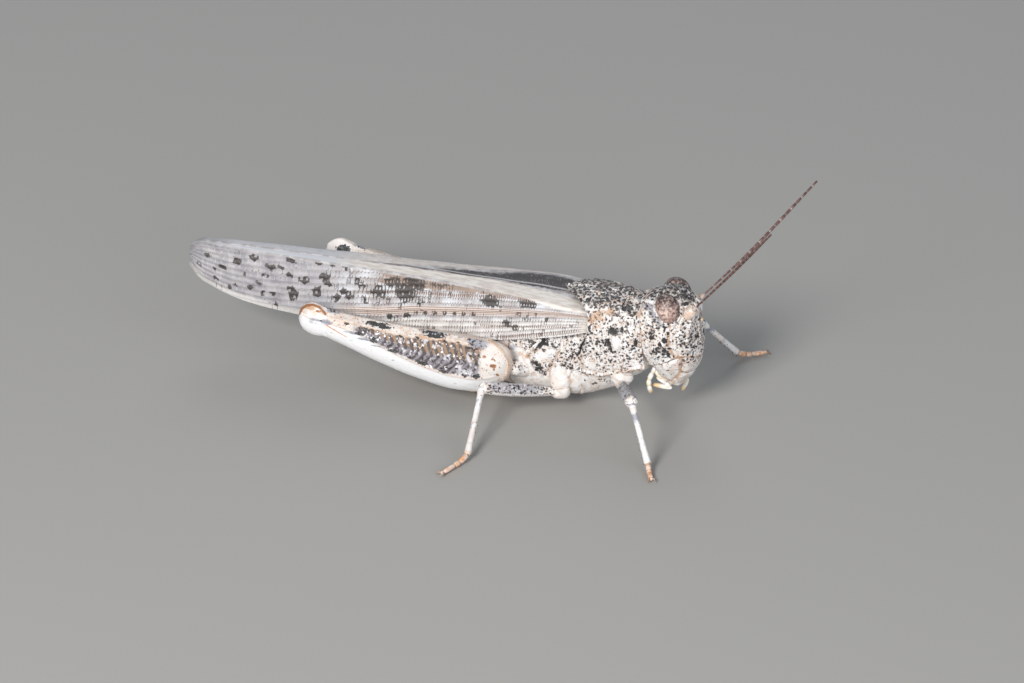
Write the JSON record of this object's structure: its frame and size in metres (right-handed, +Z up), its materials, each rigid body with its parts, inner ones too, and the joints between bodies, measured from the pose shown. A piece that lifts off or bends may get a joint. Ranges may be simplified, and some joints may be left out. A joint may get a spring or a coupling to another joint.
{
  "type": "band-winged grasshopper model",
  "caption": "Life-size still model of a speckled sand grasshopper at rest, standing on six feet with its wings folded over the back and its feelers raised.",
  "frame": {"origin": "on the ground, below the middle of the animal's overall box from wing tips to feeler tips and across the feet", "axes": "+X toward the head, +Y toward the animal's left side, +Z up"},
  "size_m": [0.0384, 0.0226, 0.0161],
  "materials": {
    "speckled_cuticle": "cream-white cuticle peppered with small black and grey specks, with tan and pinkish patches, satin",
    "pale_cuticle": "ivory cuticle with fine tan sutures and few specks, satin",
    "abdomen_cuticle": "pale straw cuticle in rings with small grey-brown spots, satin",
    "wing_membrane": "parchment-like forewing, whitish with a network of brown veins and dark blotches, translucent toward the tip",
    "hindwing_membrane": "thin pleated membrane, pale smoky yellow with brown veins",
    "eye_surface": "pinkish-brown compound eye with darker mottled bands and fine facets, glossy",
    "feeler_cuticle": "dark red-brown segments with narrow pale rings",
    "mouth_cuticle": "pale cream mouthparts with tan seams and tips",
    "foot_cuticle": "pinkish-tan foot segments with amber claws"
  },
  "bodies": {
    "root": {"abdomen_1": "abdomen_cuticle", "abdomen_2": "abdomen_cuticle", "abdomen_3": "abdomen_cuticle", "abdomen_4": "abdomen_cuticle", "abdomen_5": "abdomen_cuticle", "antenna_left": "feeler_cuticle", "antenna_right": "feeler_cuticle", "eye_left": "eye_surface", "eye_right": "eye_surface", "fore_left_coxa": "pale_cuticle", "fore_left_femur": "speckled_cuticle", "fore_left_tarsus": "foot_cuticle", "fore_left_tibia": "pale_cuticle", "fore_right_coxa": "pale_cuticle", "fore_right_femur": "speckled_cuticle", "fore_right_tarsus": "foot_cuticle", "fore_right_tibia": "pale_cuticle", "head": "speckled_cuticle", "hind_left_coxa": "pale_cuticle", "hind_left_femur": "speckled_cuticle", "hind_left_tarsus": "foot_cuticle", "hind_left_tibia": "pale_cuticle", "hind_right_coxa": "pale_cuticle", "hind_right_femur": "speckled_cuticle", "hind_right_tarsus": "foot_cuticle", "hind_right_tibia": "pale_cuticle", "hindwing_left": "hindwing_membrane", "hindwing_right": "hindwing_membrane", "labial_palp_left": "mouth_cuticle", "labial_palp_right": "mouth_cuticle", "labrum": "mouth_cuticle", "mandible_left": "mouth_cuticle", "mandible_right": "mouth_cuticle", "maxillary_palp_left": "mouth_cuticle", "maxillary_palp_right": "mouth_cuticle", "mid_left_coxa": "pale_cuticle", "mid_left_femur": "speckled_cuticle", "mid_left_tarsus": "foot_cuticle", "mid_left_tibia": "pale_cuticle", "mid_right_coxa": "pale_cuticle", "mid_right_femur": "speckled_cuticle", "mid_right_tarsus": "foot_cuticle", "mid_right_tibia": "pale_cuticle", "pronotum": "speckled_cuticle", "prothorax": "pale_cuticle", "pterothorax": "speckled_cuticle", "tegmen_left": "wing_membrane", "tegmen_right": "wing_membrane"}
  },
  "joints": []
}
